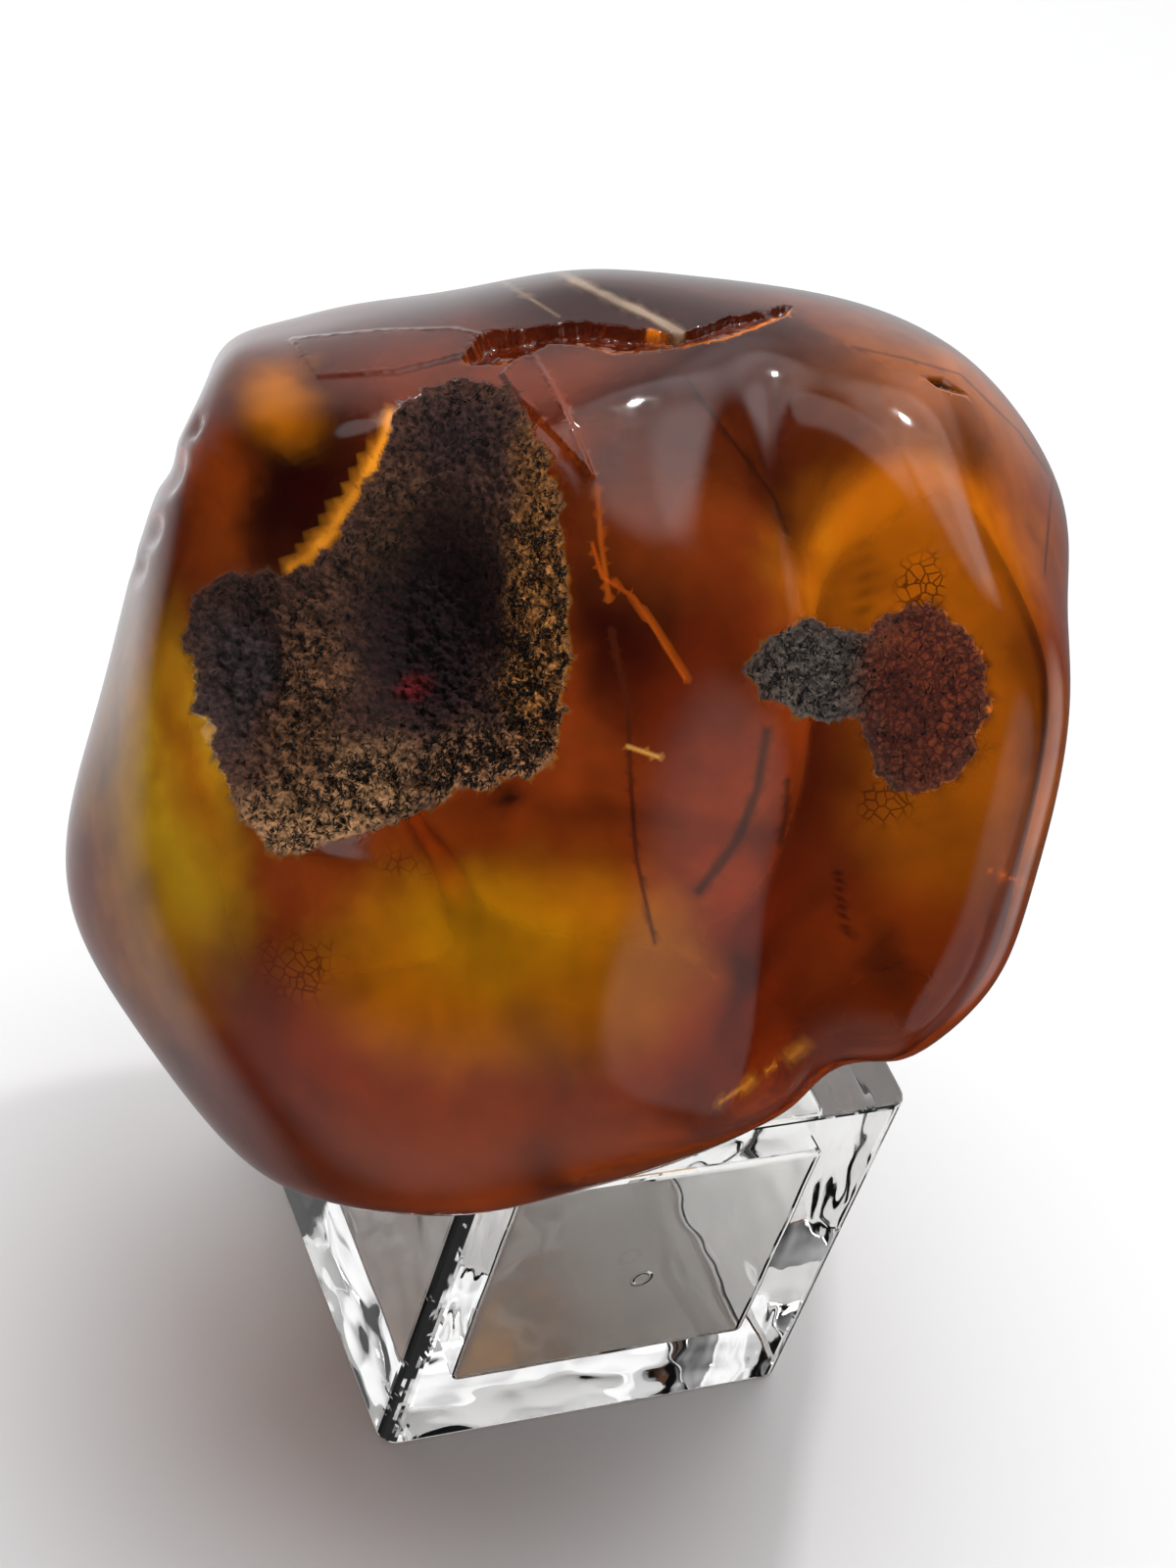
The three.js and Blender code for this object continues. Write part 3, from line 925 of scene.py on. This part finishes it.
# %% Shape of the stand
stand_side, side_wall, front_wall, stand_floor = 30.0, 4.2, 2.2, 5.0
half = stand_side / 2
hair = 0.01
sharp_angle = 0.5
upright_length = 20
block = bmesh.new()
bmesh.ops.create_cube(block, size=stand_side)
bmesh.ops.translate(block, verts=block.verts, vec=(0, 0, half))
back_face = max(block.faces, key=lambda face: face.calc_center_median().y)
bmesh.ops.inset_region(block, faces=[back_face], thickness=side_wall, use_even_offset=True)


def is_in_middle_of_back(face):
    """The inset face, or the whole back face before it."""
    middle = face.calc_center_median()
    return middle.y > half - hair and abs(middle.x) < hair and abs(middle.z - half) < hair


mouth = min(filter(is_in_middle_of_back, block.faces), key=lambda face: face.calc_area())
for corner in mouth.verts:
    corner.co.z = stand_floor if corner.co.z < half else stand_side - stand_floor
pushed = bmesh.ops.extrude_face_region(block, geom=[mouth])["geom"]
inner = [item for item in pushed if isinstance(item, bmesh.types.BMVert)]
bmesh.ops.translate(block, verts=inner, vec=(0, front_wall - stand_side, 0))
bmesh.ops.delete(block, geom=[mouth], context="FACES_ONLY")


def is_upright(a, b):
    """An edge at one of the cube's four outer corners."""
    at_side = abs(abs(a.x) - half) < hair and abs(abs(b.x) - half) < hair
    return at_side and abs(abs(a.y) - half) < hair and abs(a.z - b.z) > upright_length


def is_in_pocket(a, b):
    """An edge of the hollow, apart from those of its mouth."""
    reach = half - side_wall + hair
    beside_walls = abs(a.x) < reach and abs(b.x) < reach
    off_ends = min(a.z, b.z) > 1 and max(a.z, b.z) < stand_side - 1
    return beside_walls and off_ends and min(a.y, b.y) < half - hair


def is_rim(a, b):
    """An edge that runs round the top or the underside."""
    return a.z == b.z and abs(a.z - half) > half - hair


# Each kind of edge is rounded by a width in millimetres, in a number of steps.
for test, width, steps in [(is_upright, 1.3, 8), (is_in_pocket, 0.6, 4), (is_rim, 0.3, 3)]:
    edges = [e for e in block.edges if test(e.verts[0].co, e.verts[1].co) and e.is_manifold
             and e.calc_face_angle(0) > sharp_angle]
    bmesh.ops.bevel(block, geom=edges, offset=width, segments=steps, profile=0.5, affect="EDGES",
                    material=-1)
bmesh.ops.scale(block, verts=block.verts, vec=(mm, mm, mm))
stand_mesh = bpy.data.meshes.new("moulded_stand")
block.to_mesh(stand_mesh)
print("stand:", len(block.faces), "faces, open edges", sum(not e.is_manifold for e in block.edges))
block.free()

# %% Finish of the stand
acrylic = bpy.data.materials.new("moulded_clear_acrylic")
acrylic.use_nodes = True
tree = acrylic.node_tree
tree.nodes.clear()
place = add_node(tree, "ShaderNodeTexCoord").outputs["Object"]
gate_place = (0.0, -half * mm, half * mm)
gate_gap = add_node(tree, "ShaderNodeVectorMath", {"operation": "DISTANCE"}, _0=place,
                    _1=gate_place).outputs["Value"]
gate_inside = reshape(gate_gap, 0.45 * mm, 0.62 * mm, 1.0, 0.0)
gate_outside = reshape(gate_gap, 0.66 * mm, 0.85 * mm, 0.0, 1.0)
gate_groove = sum_of(gate_inside, 1.0, gate_outside)
sink_marks = blotches(7.0, 1.0)
scuffs = blotches(0.8, 2.0, 0.7)
height = sum_of(gate_groove, 0.18, product(sink_marks, 0.30))
bump = add_node(tree, "ShaderNodeBump", Strength=1.0, Distance=1 * mm, Height=height).outputs[0]
gloss = reshape(scuffs, 0.45, 0.75, 0.01, 0.06)
acrylic_index = 1.49
shader = add_node(tree, "ShaderNodeBsdfPrincipled", Transmission_Weight=1.0, Roughness=gloss,
                  IOR=acrylic_index,
                  Normal=bump, Base_Color=(*linear("#fbfbf9"), 1))
add_node(tree, "ShaderNodeOutputMaterial", Surface=shader.outputs[0])
stand_mesh.materials.append(acrylic)
stand = bpy.data.objects.new("moulded_stand", stand_mesh)
bpy.context.scene.collection.objects.link(stand)
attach(stand, "root")
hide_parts("display_stand")
